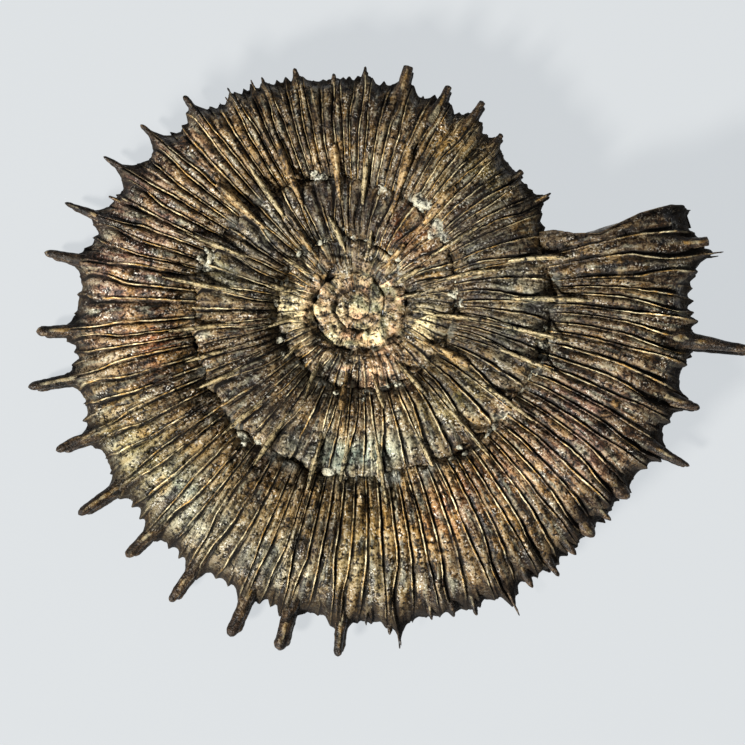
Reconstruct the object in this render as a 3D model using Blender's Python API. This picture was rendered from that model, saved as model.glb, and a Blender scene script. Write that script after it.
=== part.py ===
"""A spiny ammonite fossil that lies on its side: one coiled, ribbed shell with two rows of spines.

The coil is wound about a near-vertical axis and lies on the plane z = 0. Angles are in degrees, seen from
above, and counted back along the coil: 0 is the +X line through the last whorl, -360 the same line one turn
further in, and MOUTH_ANGLE is where the shell ends.
"""

import math

import bmesh
import bpy
import numpy as np
from mathutils import Matrix, Vector

for stale in list(bpy.data.objects):
    bpy.data.objects.remove(stale)

MM = 0.001

# The coil: its outer radius in mm at each quarter turn inward, from a quarter turn past the +X line
QUARTER_RADII = (
    87.0, 82.5, 77.5, 69.3, 56.5, 48.8, 43.2, 41.0, 32.7, 25.0, 21.0, 20.7,
    17.5, 12.5, 10.8, 11.0, 9.2, 6.7, 5.5, 5.5, 4.5, 3.2, 2.6,
)
MOUTH_ANGLE = 18.5
START_ANGLE = -1440.0
SEAM_SHARE = 0.985
BREADTH_SHARE = 0.42
LEAST_BREADTH = 0.8

# The whorl's section: share of the whorl's height out from the seam, and share of its half breadth
UMBILICAL_WALL = (0.14, 0.85)
MID_FLANK = (0.46, 1.0)
OUTER_SHOULDER = (0.86, 0.70)
VENTER_SIDE = (0.97, 0.36)
VENTER = (1.0, 0.0)
SEAM_DEPTH = 0.45

# The ribs: three to each spine, of which the first two meet at the spine's foot
RIB_PLACES = (-0.25, 0.75, 1.75)
RIB_HEIGHT = 0.85
RIBBED_RADIUS = 21.5
LEAN = 4.0
LEAN_FADE = 25.0

# The spines of the last whorl, from the mouth inward: angle, and length past the shell's edge in mm
SPINES = (
    (8.5, 8.8), (-6.2, 17.0), (-16.5, 6.8), (-25.6, 10.0), (-35.0, 1.6), (-44.0, 1.4),
    (-53.1, 3.5), (-62.2, 7.0), (-72.5, 1.6), (-82.8, 7.2), (-93.1, 9.3), (-102.7, 10.5),
    (-111.0, 11.5), (-122.3, 11.3), (-132.7, 10.0), (-143.3, 12.8), (-154.5, 10.5), (-166.3, 13.0),
    (-175.7, 10.0), (-190.0, 10.8), (-199.7, 10.5), (-210.8, 8.5), (-220.2, 7.0), (-230.7, 6.3),
    (-239.5, 3.0), (-247.5, 2.8), (-255.3, 3.3), (-264.3, 1.5), (-272.0, 3.8), (-282.0, 6.3),
    (-292.5, 5.5), (-301.5, 6.7), (-310.0, 3.5), (-320.5, 1.5), (-329.5, 4.8),
)
NEXT_SPINE = MOUTH_ANGLE + 0.3
SPINE_STEP = 10.3
STEP_POWER = 0.6
LAST_RIB_GAP = 0.3

# How a spine tapers: steps as shares of its length, each with its thickness as a share of the foot's
SPINE_STEPS = ((0.42, 0.5), (1.0, 0.26))
STUB_STEPS = ((1.0, 0.5),)
STUB_LENGTH = 2.0
SPINE_SPLAY = 9.0

# The mouth: a rim round the stone that fills the shell, which is domed in the middle
RIM_SHARE = 0.84
FILL_DEPTH = 4.0
DOME_DEPTH = 2.0

# How the shell lies: tilted to rest on its lower flank, with the ribs worn flat there by WORN_DEPTH
TILT_X = -1.37
TILT_Y = -1.29
WORN_DEPTH = 0.6
LEAST_CUT = 0.02
COIL_CENTRE = (-8.64, 13.21, 14.65 - WORN_DEPTH)


def quarter_radius(index):
    """One entry of QUARTER_RADII, with the last repeated further in."""
    return QUARTER_RADII[min(max(index, 0), len(QUARTER_RADII) - 1)]


def coil_radius(angle):
    """The shell's outer radius in mm: a smooth curve through the logarithms of QUARTER_RADII."""
    place = 1.0 - angle / 90.0
    index = math.floor(place)
    t = place - index
    before, start, end, after = (math.log(quarter_radius(index + k)) for k in (-1, 0, 1, 2))
    slope_in = (end - before) / 2
    slope_out = (after - start) / 2
    bend = 3 * (end - start) - 2 * slope_in - slope_out
    twist = 2 * (start - end) + slope_in + slope_out
    return math.exp(start + slope_in * t + bend * t**2 + twist * t**3)


def seam_radius(angle):
    """Where the whorl meets the one inside it, in mm from the coil's axis."""
    return SEAM_SHARE * coil_radius(angle - 360)


def half_breadth(angle):
    """Half the whorl's thickness across the coil's plane, in mm."""
    return BREADTH_SHARE * (coil_radius(angle) - seam_radius(angle)) + LEAST_BREADTH


def rib_lean(angle, out):
    """How far a rib leans back, in degrees, at a share `out` of the whorl's height."""
    from_mouth = abs((angle - MOUTH_ANGLE + 180) % 360 - 180)
    fade = min(from_mouth / LEAN_FADE, 1.0)
    to_the_right = 0.5 + 0.5 * math.cos(math.radians(angle))
    return -LEAN * to_the_right * fade * out**1.5


def surface_point(angle, shape, side, relief):
    """A point on the shell in mm, about the coil's centre. `relief` lifts it off the smooth section."""
    out, broad = shape
    angle += rib_lean(angle, out)
    outer, seam = coil_radius(angle), seam_radius(angle)
    middle = (outer + seam) / 2
    lift = 1 + relief / half_breadth(angle)
    radius = middle + (seam + out * (outer - seam) - middle) * lift
    height = side * broad * half_breadth(angle) * lift
    turn = math.radians(angle)
    return Vector((radius * math.cos(turn), radius * math.sin(turn), height))


def seam_point(angle, side):
    """A point of the valley between a whorl and the one inside it."""
    radius = seam_radius(angle)
    turn = math.radians(angle)
    height = side * SEAM_DEPTH * half_breadth(angle - 360)
    return Vector((radius * math.cos(turn), radius * math.sin(turn), height))


def spine_angles():
    """Every spine's angle from the centre out, the inner ones spaced by the shell's size there."""
    angles = [NEXT_SPINE] + [angle for angle, _ in SPINES]
    while angles[-1] > START_ANGLE:
        growth = coil_radius(0) / coil_radius(angles[-1])
        angles.append(angles[-1] - SPINE_STEP * growth**STEP_POWER)
    return angles[::-1]


def columns():
    """The shell's cross lines from the centre out: angle, relief, and the spine whose foot starts there."""
    made = []
    angles = spine_angles()
    for here, following in zip(angles, angles[1:]):
        third = (following - here) / 3
        for number, place in enumerate(RIB_PLACES):
            crest = here + place * third
            size = coil_radius(crest)
            spine = here if number == 0 and here >= SPINES[-1][0] else None
            if size > RIBBED_RADIUS:
                height = RIB_HEIGHT * size / QUARTER_RADII[1]
                made.append((crest, height / 2, spine))
                made.append((crest + third / 2, -height / 2, None))
            elif number != 1:
                made.append((crest, 0.0, None))
    last_rib = MOUTH_ANGLE - LAST_RIB_GAP * SPINE_STEP / 3
    made = [column for column in made if START_ANGLE <= column[0] < last_rib]
    made.append((MOUTH_ANGLE, RIB_HEIGHT / 2, None))
    return made


def zip_rows(bm, inner, outer):
    """Joins two rows of (angle, vertex) that run side by side but have different spacing."""
    i = j = 0
    while i < len(inner) - 1 or j < len(outer) - 1:
        outer_done = j == len(outer) - 1
        if outer_done or (i < len(inner) - 1 and inner[i + 1][0] <= outer[j + 1][0]):
            bm.faces.new((inner[i][1], inner[i + 1][1], outer[j][1]))
            i += 1
        else:
            bm.faces.new((inner[i][1], outer[j + 1][1], outer[j][1]))
            j += 1


def quads_between(bm, first, second):
    """Faces between two lists of vertices, as far as both go."""
    for k in range(min(len(first), len(second)) - 1):
        corners = dict.fromkeys((first[k], first[k + 1], second[k + 1], second[k]))
        if len(corners) > 2:
            bm.faces.new(tuple(corners))


def build_flank(bm, lines, side):
    """One flank of the coil, from the centre to the outer shoulder, as a list of vertices per column."""
    centre = bm.verts.new((0, 0, side * LEAST_BREADTH))
    shapes = (UMBILICAL_WALL, MID_FLANK, OUTER_SHOULDER)
    flank = []
    for angle, relief, _ in lines:
        first_turn = angle < START_ANGLE + 360
        foot = centre if first_turn else bm.verts.new(seam_point(angle, side))
        rows = [bm.verts.new(surface_point(angle, shape, side, relief)) for shape in shapes]
        flank.append([foot] + rows)
    for here, following in zip(flank, flank[1:]):
        quads_between(bm, here, following)
    covered = [(line[0], rows[-1]) for line, rows in zip(lines, flank) if line[0] <= MOUTH_ANGLE - 360]
    feet = [(line[0] - 360, rows[0]) for line, rows in zip(lines, flank) if rows[0] is not centre]
    zip_rows(bm, covered, feet)
    bm.faces.new((centre, *flank[0][1:], feet[0][1]))
    return flank


def build_venter(bm, lines, upper, lower):
    """The outer edge of the last whorl, which joins the two flanks, as a list of vertices per column."""
    shapes = ((VENTER_SIDE, 1), (VENTER, 1), (VENTER_SIDE, -1))
    edge = []
    for number, (angle, relief, _) in enumerate(lines):
        following = lines[number + 1][0] if number + 1 < len(lines) else MOUTH_ANGLE
        if angle <= MOUTH_ANGLE - 360 and following <= MOUTH_ANGLE - 360:
            continue
        middle = [bm.verts.new(surface_point(angle, shape, side, relief)) for shape, side in shapes]
        edge.append([upper[number][-1]] + middle + [lower[number][-1]])
    for here, following in zip(edge, edge[1:]):
        quads_between(bm, here, following)
    return edge


def close_mouth(bm, upper, lower, edge):
    """The stone in the mouth: a rim, a step down, and a gently domed floor."""
    ring = upper[-1] + edge[-1][1:-1] + lower[-1][::-1] + edge[0][::-1]
    centre = sum((vertex.co for vertex in ring), Vector()) / len(ring)
    along = Vector((0, 0, 1)).cross(centre).normalized()
    floor = []
    for vertex in ring:
        inward = centre + (vertex.co - centre) * RIM_SHARE
        floor.append(bm.verts.new(inward - along * FILL_DEPTH))
    quads_between(bm, ring + ring[:1], floor + floor[:1])
    middle = bm.verts.new(centre - along * DOME_DEPTH)
    for here, following in zip(floor, floor[1:] + floor[:1]):
        bm.faces.new((here, following, middle))


def grow_spine(bm, faces, angle, length, side):
    """Draws a spine out of the faces of its foot, in steps, to a blunt tip."""
    foot = sum((face.calc_center_median() for face in faces), Vector()) / len(faces)
    reach = coil_radius(angle) + length - math.hypot(foot.x, foot.y)
    turn, splay = math.radians(angle), math.radians(SPINE_SPLAY)
    heading = Vector((math.cos(turn), math.sin(turn), side * math.tan(splay)))
    tip = Vector((math.cos(turn), math.sin(turn), 0)) * (coil_radius(angle) + length)
    tip.z = foot.z + heading.z * reach
    thickness = 1.0
    for share, narrowed in SPINE_STEPS if length > STUB_LENGTH else STUB_STEPS:
        centre = foot.lerp(tip, share)
        extruded = bmesh.ops.extrude_face_region(bm, geom=faces)["geom"]
        bmesh.ops.delete(bm, geom=faces, context="FACES_KEEP_BOUNDARY")
        faces = [item for item in extruded if isinstance(item, bmesh.types.BMFace)]
        corners = {vertex for face in faces for vertex in face.verts}
        middle = sum((vertex.co for vertex in corners), Vector()) / len(corners)
        for vertex in corners:
            vertex.co = centre + (vertex.co - middle) * (narrowed / thickness)
        thickness = narrowed


def lay_down(bm):
    """Tilts the coil onto its lower flank, sets it on the plane z = 0 and cuts flat the ribs below."""
    tilt = Matrix.Rotation(math.radians(TILT_X), 4, "X") @ Matrix.Rotation(math.radians(TILT_Y), 4, "Y")
    place = Matrix.Translation(Vector(COIL_CENTRE)) @ tilt
    bmesh.ops.transform(bm, matrix=place, verts=bm.verts)
    for vertex in bm.verts:
        if abs(vertex.co.z) < LEAST_CUT:
            vertex.co.z = LEAST_CUT
    everything = bm.verts[:] + bm.edges[:] + bm.faces[:]
    bmesh.ops.bisect_plane(bm, geom=everything, plane_co=(0, 0, 0), plane_no=(0, 0, -1), clear_outer=True)
    rims = [edge for edge in bm.edges if edge.is_boundary]
    bmesh.ops.holes_fill(bm, edges=rims)
    bmesh.ops.scale(bm, vec=(MM, MM, MM), verts=bm.verts)


def build_shell():
    """The whole ammonite as one closed mesh."""
    bm = bmesh.new()
    lines = columns()
    upper, lower = (build_flank(bm, lines, side) for side in (1, -1))
    edge = build_venter(bm, lines, upper, lower)
    close_mouth(bm, upper, lower, edge)
    bmesh.ops.recalc_face_normals(bm, faces=bm.faces)
    first_exposed = len(lines) - len(edge)
    lengths = dict(SPINES)
    for number, (_, _, spine) in enumerate(lines):
        place = number - first_exposed
        if spine is None or place < 0 or place + 2 >= len(edge):
            continue
        for side, row in ((1, 0), (-1, 3)):
            faces = []
            for k in (place, place + 1):
                corners = (edge[k][row], edge[k][row + 1], edge[k + 1][row + 1], edge[k + 1][row])
                faces.append(bm.faces.get(corners))
            grow_spine(bm, faces, spine, lengths[spine], side)
    lay_down(bm)
    bmesh.ops.triangulate(bm, faces=bm.faces)
    bmesh.ops.recalc_face_normals(bm, faces=bm.faces)
    mesh = bpy.data.meshes.new("ammonite")
    bm.to_mesh(mesh)
    bm.free()
    return mesh


def fossil_material():
    """Brown calcite with a dull polish."""
    material = bpy.data.materials.new("fossil_calcite")
    material.use_nodes = True
    surface = material.node_tree.nodes["Principled BSDF"]
    surface.inputs["Base Color"].default_value = (0.12, 0.08, 0.045, 1.0)
    surface.inputs["Roughness"].default_value = 0.5
    surface.inputs["Metallic"].default_value = 0.0
    return material


ammonite = bpy.data.objects.new("ammonite", build_shell())
ammonite.data.materials.append(fossil_material())
bpy.context.scene.collection.objects.link(ammonite)

corners = np.array([vertex.co for vertex in ammonite.data.vertices])
print("triangles:", len(ammonite.data.polygons))
print("lowest and highest corner in mm:", corners.min(0) / MM, corners.max(0) / MM)
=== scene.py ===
# %% [markdown]
# # A spiny ammonite, turned to stone
#
# An ammonite's shell is one long tube that grew in a flat spiral, each turn wrapped round the last. Every
# few millimetres the animal thickened the lip of the shell, which left a rib, and every third rib or so
# grew into a spine on each shoulder. This one is a fossil: its walls are brown calcite, its grooves are
# dark with clay and with painted shade, and pale crusts of the rock it lay in are left along the seams
# between the turns.
#
# The solid model gives the size, the growth law and the place of every large spine. This script grows the
# fine shell round the same law: a plain tube is spun, and each of its points is then moved to where
# growth would put it, much as a sculptor works a coil of clay.

# %% Loading the fixed frame
import math
from types import SimpleNamespace

import bpy
import numpy as np
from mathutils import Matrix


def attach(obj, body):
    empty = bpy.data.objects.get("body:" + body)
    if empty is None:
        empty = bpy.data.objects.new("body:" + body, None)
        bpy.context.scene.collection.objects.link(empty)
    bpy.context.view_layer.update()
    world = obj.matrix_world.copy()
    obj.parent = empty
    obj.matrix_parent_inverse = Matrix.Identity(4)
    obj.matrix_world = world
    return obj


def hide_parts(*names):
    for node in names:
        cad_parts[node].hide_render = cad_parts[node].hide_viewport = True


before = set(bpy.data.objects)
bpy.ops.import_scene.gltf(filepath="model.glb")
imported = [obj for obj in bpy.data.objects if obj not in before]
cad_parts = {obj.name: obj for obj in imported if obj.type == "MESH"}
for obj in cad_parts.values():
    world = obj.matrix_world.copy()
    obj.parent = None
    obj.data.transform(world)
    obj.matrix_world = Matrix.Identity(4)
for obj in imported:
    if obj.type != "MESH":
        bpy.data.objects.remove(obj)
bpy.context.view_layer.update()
MM = 0.001

# %% [markdown]
# ## The growth law
#
# Each turn is 1.7 to 2.1 times as wide as the one inside it. Growth sped up and slowed, so the outer radius
# is read from a smooth curve through the logarithms of a few radii, one for each quarter turn. Angles are
# in degrees seen from above and run back along the coil: 0 is to the right through the last turn, -360 the
# same line one turn further in. The values are those of the solid model, so the fine shell fits round it.

# %% The coil's outer radius and seam
QUARTER_RADII = np.array((
    87.0, 82.5, 77.5, 69.3, 56.5, 48.8, 43.2, 41.0, 32.7, 25.0, 21.0, 20.7,
    17.5, 12.5, 10.8, 11.0, 9.2, 6.7, 5.5, 5.5, 4.5, 3.2, 2.6,
))
MOUTH_ANGLE = 18.5
START_ANGLE = -1800.0
SEAM_SHARE = 0.985
BREADTH_SHARE = 0.42
LEAST_BREADTH = 0.8
FULL_RADIUS = 82.5


def coil_radius(angle):
    """The shell's outer radius in mm at an angle in degrees."""
    place = 1.0 - np.asarray(angle, float) / 90.0
    index = np.floor(place).astype(int)
    t = place - index
    logs = np.log(QUARTER_RADII)
    before, start, end, after = (logs[np.clip(index + k, 0, len(logs) - 1)] for k in (-1, 0, 1, 2))
    slope_in, slope_out = (end - before) / 2, (after - start) / 2
    bend = 3 * (end - start) - 2 * slope_in - slope_out
    twist = 2 * (start - end) + slope_in + slope_out
    return np.exp(start + slope_in * t + bend * t**2 + twist * t**3)


def seam_radius(angle):
    """Where a turn meets the one inside it, in mm."""
    return SEAM_SHARE * coil_radius(np.asarray(angle, float) - 360)


def half_breadth(angle):
    """Half the turn's thickness, in mm."""
    return BREADTH_SHARE * (coil_radius(angle) - seam_radius(angle)) + LEAST_BREADTH


def point_at(radius, angle, height):
    """Points in mm about the coil's centre, from their radius, their angle in degrees and their height."""
    turned = np.radians(angle)
    return np.stack(np.broadcast_arrays(radius * np.cos(turned), radius * np.sin(turned), height), axis=-1)


print("radius at the mouth in mm:", round(float(coil_radius(MOUTH_ANGLE)), 1))

# %% [markdown]
# ## The section
#
# Cut across, a turn is a rounded oblong: a steep wall at the seam, a long gently arched flank, and a rounded
# outer edge. A superellipse is one formula that gives such a shape. Its rows are spaced along the edge,
# close together on the upper flank, which is looked at most, and few at the inner edge, which is sunk into
# the turn inside it.

# %% The section and its rows
SECTION_MIDDLE, SECTION_HALF = 0.47, 0.53
ROUND_POWER, FLAT_POWER = 2.6, 10.0
HIDDEN_FROM, HIDDEN_FULLY = -335.0, -362.0
HEIGHT_TO_BREADTH = 0.45
LOWER_SHARE, HIDDEN_SHARE = 0.6, 0.12


def ramp(value, low, high):
    """Rises smoothly from 0 at `low` to 1 at `high`."""
    t = np.clip((value - low) / (high - low), 0, 1)
    return t * t * (3 - 2 * t)


def section_power(angle, out):
    """How square the section is: a turn's outer half is fuller where the next turn hides its edge."""
    hidden = ramp(angle, HIDDEN_FROM, HIDDEN_FULLY) * (out > SECTION_MIDDLE)
    return ROUND_POWER + (FLAT_POWER - ROUND_POWER) * hidden


def breadth_share(out, power):
    """The section's half breadth, from 0 to 1, at a share `out` of its height."""
    across = np.abs(out - SECTION_MIDDLE) / SECTION_HALF
    return np.sqrt(np.clip(1 - np.minimum(across, 1) ** power, 0, 1))


def section_shape(turn):
    """How far out, as a share of the turn's height, and which side is up, at an angle round the section."""
    across = np.sign(np.cos(turn)) * np.abs(np.cos(turn)) ** (2 / ROUND_POWER)
    return SECTION_MIDDLE + SECTION_HALF * across, np.sin(turn)


def section_rows(count):
    """Angles round the section for `count` rows, from the outer edge over the upper flank and back below."""
    turn = np.linspace(0, 2 * np.pi, 4001)
    out, broad = section_shape(turn)
    step = np.hypot(np.diff(out), HEIGHT_TO_BREADTH * np.diff(broad))
    middle = (turn[1:] + turn[:-1]) / 2
    wanted = np.where(middle < np.pi, 1.0, LOWER_SHARE)
    wanted = np.where(section_shape(middle)[0] < -0.02, HIDDEN_SHARE, wanted)
    total = np.concatenate(([0], np.cumsum(step * wanted)))
    return np.interp(np.arange(count) / count * total[-1], total, turn)


print("rows on the upper flank of 150:", int((section_rows(150) < np.pi).sum()))

# %% [markdown]
# ## Noise
#
# Nothing that grew is even. A small value noise, a lattice of fixed random numbers with smooth steps
# between them, gives every wobble, worn patch and lump below. It reads places in millimetres, so that a
# lump keeps its real size, and its numbers come from one seed, so that each run gives the same fossil.

# %% A smooth random field
random = np.random.default_rng(1758)
LATTICE = random.random(4096)


def noise(points, size, seed=0):
    """Smooth noise from -1 to 1 at points in mm, with features about `size` mm across."""
    place = np.asarray(points, float) / size + 37.0 * seed
    cell = np.floor(place).astype(np.int64)
    t = place - cell
    t = t * t * (3 - 2 * t)
    total = 0.0
    for dx in (0, 1):
        for dy in (0, 1):
            for dz in (0, 1):
                key = ((cell[..., 0] + dx) * 73856093) ^ ((cell[..., 1] + dy) * 19349663)
                key ^= (cell[..., 2] + dz) * 83492791
                weight = (t[..., 0] if dx else 1 - t[..., 0]) * (t[..., 1] if dy else 1 - t[..., 1])
                total = total + LATTICE[key % 4096] * weight * (t[..., 2] if dz else 1 - t[..., 2])
    return 2 * total - 1


def noises(points, *rows):
    """The sum of several noises, each with its amount, its size in mm and its seed."""
    return sum(amount * noise(points, size, seed) for amount, size, seed in rows)


print("noise at the centre:", round(float(noise(np.zeros(3), 1.0, 1)), 3))

# %% [markdown]
# ## The spines
#
# The spines are what one would draw first, so each large one is listed: its angle, how far it
# reaches past the shell's edge, how thick it is at its foot and near its tip, and its form. Some are
# whole rods with a round tip, some are thin needles, and some are broken off blunt. Further in, the
# spines of the earlier turns lie across the seam on the turn outside them. Those are listed with the
# radius that their tips reach.

# %% The spines of the last turn: angle, reach, foot and tip thickness in mm, form
OUTER_SPINES = (
    (8.5, 8.8, 2.6, 0.4, "needle"), (-6.2, 17.0, 4.8, 1.8, "rod"), (-16.5, 6.8, 5.6, 1.4, "cone"),
    (-25.6, 10.0, 4.6, 1.1, "cone"), (-35.0, 1.6, 5.0, 3.0, "stub"), (-44.0, 1.4, 5.0, 3.0, "stub"),
    (-53.1, 3.5, 4.4, 0.9, "cone"), (-62.2, 7.0, 3.2, 0.4, "needle"), (-72.5, 1.6, 3.0, 1.2, "stub"),
    (-82.8, 7.2, 3.4, 0.4, "needle"), (-93.1, 9.3, 3.4, 2.2, "rod"), (-102.7, 10.5, 3.6, 3.2, "rod"),
    (-111.0, 11.5, 3.6, 2.8, "rod"), (-122.3, 11.3, 3.6, 2.2, "rod"), (-132.7, 10.0, 3.8, 2.4, "rod"),
    (-143.3, 12.8, 4.2, 2.2, "rod"), (-154.5, 10.5, 4.4, 1.9, "rod"), (-166.3, 13.0, 4.2, 2.0, "rod"),
    (-175.7, 10.0, 4.0, 2.3, "rod"), (-190.0, 10.8, 4.6, 1.6, "rod"), (-199.7, 10.5, 3.4, 1.0, "rod"),
    (-210.8, 8.5, 3.6, 0.9, "cone"), (-220.2, 7.0, 3.0, 1.0, "cone"), (-230.7, 6.3, 3.2, 1.3, "cone"),
    (-239.5, 3.0, 2.0, 0.4, "needle"), (-247.5, 2.8, 2.4, 0.5, "cone"), (-255.3, 3.3, 4.6, 0.9, "cone"),
    (-264.3, 1.5, 2.6, 0.8, "cone"), (-272.0, 3.8, 2.4, 0.8, "needle"), (-282.0, 6.3, 3.8, 2.4, "broken"),
    (-292.5, 5.5, 4.6, 1.6, "broken"), (-301.5, 6.7, 3.6, 1.6, "broken"), (-310.0, 3.5, 2.6, 1.4, "broken"),
    (-320.5, 1.5, 2.4, 1.6, "broken"), (-329.5, 4.8, 3.0, 0.5, "cone"),
)
TEETH = (
    (10.6, 5.6, 3.0, 2.2, "broken"), (-40.0, 1.6, 3.6, 1.4, "stub"), (-48.5, 1.8, 4.0, 1.6, "stub"),
    (-57.9, 2.4, 4.4, 1.4, "stub"), (-68.7, 3.0, 3.6, 0.8, "cone"), (-76.5, 1.2, 3.0, 1.0, "stub"),
    (-84.2, 3.6, 2.6, 0.8, "cone"), (-88.3, 1.2, 2.6, 0.8, "stub"), (-204.2, 1.8, 2.2, 0.6, "cone"),
    (-238.0, 1.2, 1.2, 0.4, "needle"), (-245.0, 2.9, 1.4, 0.4, "needle"), (-332.5, 1.0, 1.8, 0.5, "cone"),
    (-346.8, 1.0, 1.6, 0.5, "cone"),
)
print("spines and teeth on each shoulder of the last turn:", len(OUTER_SPINES), len(TEETH))

# %% The spines of the inner turns: angle, radius of the tip, thickness, and the tip's lean in degrees
SECOND_TURN_SPIKES = (
    (-342.0, 54.3, 1.3, -2.0), (-355.5, 58.3, 1.6, 1.0), (-366.0, 53.5, 1.3, 0.5),
    (-375.0, 52.5, 1.2, 0.5), (-390.0, 53.0, 1.2, 1.0), (-406.2, 50.0, 1.3, 1.5), (-423.0, 46.0, 1.2, 2.0),
    (-440.3, 51.0, 1.4, 2.0), (-453.0, 44.5, 1.2, -1.0), (-464.5, 47.0, 1.7, 1.5),
    (-482.3, 46.8, 1.5, 0.5), (-495.2, 46.0, 1.3, -1.0), (-512.0, 45.0, 1.1, -1.0),
    (-522.0, 44.5, 1.1, 0.0), (-532.5, 46.8, 1.2, 0.0), (-548.0, 48.5, 1.4, -1.0),
    (-564.0, 46.0, 1.5, 1.0), (-580.5, 46.0, 2.6, -0.5), (-591.3, 44.0, 1.6, -1.0),
    (-602.0, 45.0, 2.4, -2.0), (-620.5, 40.5, 2.2, 0.0), (-632.2, 37.5, 1.4, 0.0),
    (-648.5, 41.3, 2.4, 3.0), (-667.0, 38.3, 2.8, 1.0), (-684.0, 37.5, 1.3, 1.0),
    (-700.5, 37.5, 1.3, -2.0),
)
THIRD_TURN_SPIKES = (
    (-723.5, 31.3, 1.2, 2.0), (-745.0, 31.3, 2.6, 2.0), (-771.0, 29.3, 1.3, 4.0), (-795.0, 26.3, 1.2, 4.0),
    (-818.0, 25.8, 2.2, 2.0), (-843.0, 27.5, 1.3, 7.0), (-867.0, 22.5, 1.0, 4.0), (-890.0, 23.0, 1.0, 4.0),
    (-915.0, 23.8, 1.8, 2.0), (-935.0, 22.0, 1.0, 2.0), (-951.0, 24.0, 2.0, 0.0), (-976.0, 24.0, 1.6, 7.0),
    (-1000.0, 19.5, 1.2, 2.0), (-1024.0, 19.5, 2.0, 0.0), (-1046.0, 18.5, 1.6, 2.0),
    (-1065.0, 17.0, 1.3, 2.0),
)
FEET_WITHOUT_SPINES = (1.2,)
SPINE_STEP, STEP_POWER = 10.3, 0.6


def all_spine_angles():
    """Every spine's angle from the centre out. The innermost are spaced by the shell's size there."""
    angles = [MOUTH_ANGLE + 0.8, *FEET_WITHOUT_SPINES]
    angles += [row[0] for row in OUTER_SPINES + SECOND_TURN_SPIKES + THIRD_TURN_SPIKES]
    angles = sorted(angles, reverse=True)
    while angles[-1] > START_ANGLE:
        growth = FULL_RADIUS / float(coil_radius(angles[-1]))
        angles.append(angles[-1] - SPINE_STEP * growth**STEP_POWER)
    return np.array(angles[::-1])


spine_angles = all_spine_angles()
print("spines in a row from the centre to the mouth:", len(spine_angles))

# %% [markdown]
# ## The ribs
#
# Between two spines there are three ribs. The first two come together at the spine's foot and look like a
# loop, the third passes between. On the outer edge a fourth, short rib fits in, which is why the edge is
# finely scalloped. Each rib is a line over the flank, and the mesh's columns follow those lines, so that
# even a crest half a millimetre wide is sharp.
#
# Across, a rib is a thin raised blade. In front of it is a narrow groove full of dark clay, darkened further
# as painted shade, and then the floor arches gently up to the next rib.

# %% Rib lines
INTERVALS = np.append(np.diff(spine_angles), SPINE_STEP) / 3
OUTER_PLACES = ((-0.25, 0.75, 1.75, 2.25), (0.0, 0.5, 1.65, 2.2))
SECOND_PLACES = ((-0.25, 0.75, 1.75, 2.25), (-0.08, 0.1, 1.6, 2.2))
INNER_PLACES = ((-0.25, 0.5, 1.25, 2.0), (-0.12, 0.15, 1.15, 2.0))
EDGE_PLACE = np.array((0.0, 0.75, 1.5, 2.25))
SECOND_TURN_END, THIRD_TURN_END = -341.0, -702.0
FOOT_OUT = 0.84
LEAN, LEAN_FADE = 4.0, 14.0
JITTER, WOBBLE = 0.13, 0.42
WOBBLE_NOISE = ((0.6, 1.0, 31), (0.35, 0.25, 32), (0.15, 1 / 12, 33))
MEETING_FROM = (0.55, 0.15, 0.15)
MOUTH_OUTLINE = (
    (0.0, 0.07, 0.2, 0.39, 0.55, 0.7, 0.88, 0.97, 1.0), (3.8, 3.0, 0.2, -1.8, -0.9, -0.3, -0.5, -1.2, -2.0)
)
LEAST_GAP = 0.5
line_jitter = random.uniform(-JITTER, JITTER, (len(spine_angles), 4))
line_phase = random.uniform(0, 50, (len(spine_angles), 4, 3))
turn_of_spine = (spine_angles < SECOND_TURN_END).astype(int) + (spine_angles < THIRD_TURN_END)
places = np.array((OUTER_PLACES, SECOND_PLACES, INNER_PLACES))


def rib_lean(angle, out):
    """How far a rib leans back, in degrees: most on the right-hand side, and not at all at the mouth."""
    from_mouth = np.clip((MOUTH_ANGLE - angle) / LEAN_FADE, 0, 1)
    to_the_right = 0.5 + 0.5 * np.cos(np.radians(angle))
    return -LEAN * to_the_right * from_mouth * np.clip(out, 0, 1) ** 1.5


def rib_line(interval, kind, out):
    """The angle of a rib, in degrees, at a share `out` of the turn's height."""
    turn, third = turn_of_spine[interval], INTERVALS[interval]
    flank, foot = places[turn, 0, kind], places[turn, 1, kind]
    meeting = ramp(out, np.array(MEETING_FROM)[turn], FOOT_OUT)
    place = flank + line_jitter[interval, kind]
    place = place + (foot - place) * meeting + (EDGE_PLACE[kind] - foot) * ramp(out, 0.87, 0.96)
    angle = spine_angles[interval] + third * place
    phase = line_phase[interval, kind]
    walk = np.stack(np.broadcast_arrays(4 * out + phase[..., 0], phase[..., 1], phase[..., 2]), axis=-1)
    angle = angle + np.degrees(WOBBLE / coil_radius(angle)) * noises(walk, *WOBBLE_NOISE)
    angle = angle + rib_lean(angle, out)
    lip = MOUTH_ANGLE + np.interp(out, *MOUTH_OUTLINE)
    before_lip = np.minimum(angle, lip - LEAST_GAP * (4 - kind))
    return np.where(interval == len(spine_angles) - 1, lip, before_lip)


print("mean rib spacing on the last turn in degrees:", round(float(INTERVALS[-36:].mean()), 2))

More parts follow.
